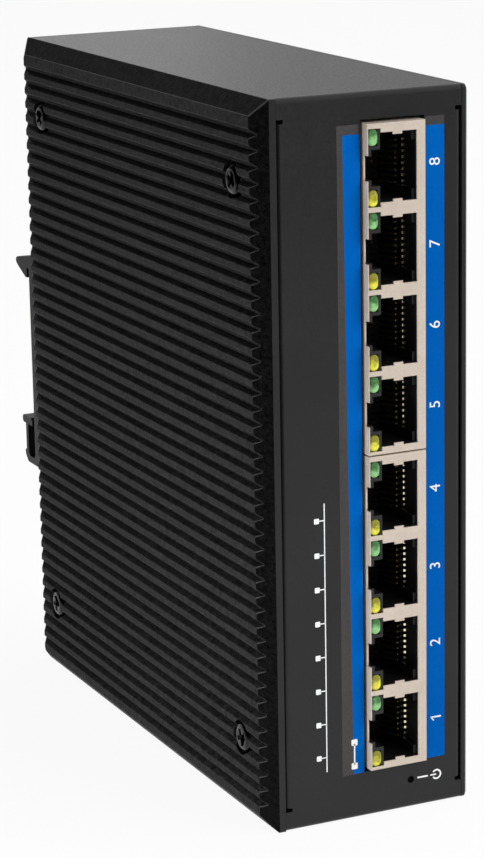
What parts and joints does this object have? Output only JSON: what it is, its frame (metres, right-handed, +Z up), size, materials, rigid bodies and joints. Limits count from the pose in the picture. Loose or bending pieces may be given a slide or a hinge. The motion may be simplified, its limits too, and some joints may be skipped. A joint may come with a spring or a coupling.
{
  "type": "ethernet switch",
  "caption": "Narrow rail-mounted ethernet switch: black folded steel case with a finned side plate, a column of network sockets with indicator lights in front and a rail clip behind.",
  "frame": {"origin": "centre of the bounding box in plan, at the bottom face", "axes": "+Z up as it stands, sockets face -Y, finned plate on -X, rail clip on +Y"},
  "size_m": [0.0392, 0.1212, 0.1272],
  "materials": {
    "black_steel": "satin black powder coat",
    "black_fins": "black anodised, fine grain",
    "black_screw": "black oxide",
    "zinc_steel": "bright zinc",
    "plated_shield": "matte nickel plate",
    "black_plastic": "moulded",
    "contact_gold": "gold flash",
    "green_lens": "translucent",
    "yellow_lens": "translucent",
    "clear_lens": "smoked",
    "board_green": "solder mask",
    "chip_black": "moulded",
    "can_metal": "bright",
    "can_sleeve": "shrink sleeve",
    "header_green": "moulded",
    "black_clip": "black anodised"
  },
  "bodies": {
    "root": {"case_shell": "black_steel", "finned_side_plate": "black_fins", "flat_side_cover": "black_steel", "plate_screws": "black_screw", "cover_screws": "black_screw", "lower_jack_shield": "plated_shield", "lower_jack_housing": "black_plastic", "lower_jack_contacts": "contact_gold", "upper_jack_shield": "plated_shield", "upper_jack_housing": "black_plastic", "upper_jack_contacts": "contact_gold", "green_indicators": "green_lens", "yellow_indicators": "yellow_lens", "circuit_board": "board_green", "board_standoffs": "zinc_steel", "switch_chip": "chip_black", "clock_crystal": "can_metal", "transformer_modules": "chip_black", "converter_chip": "chip_black", "power_inductor": "chip_black", "power_capacitor": "can_sleeve", "power_indicator": "clear_lens", "power_header": "header_green", "power_pins": "contact_gold", "rail_clip": "black_clip", "clip_screws": "black_screw"}
  },
  "joints": []
}
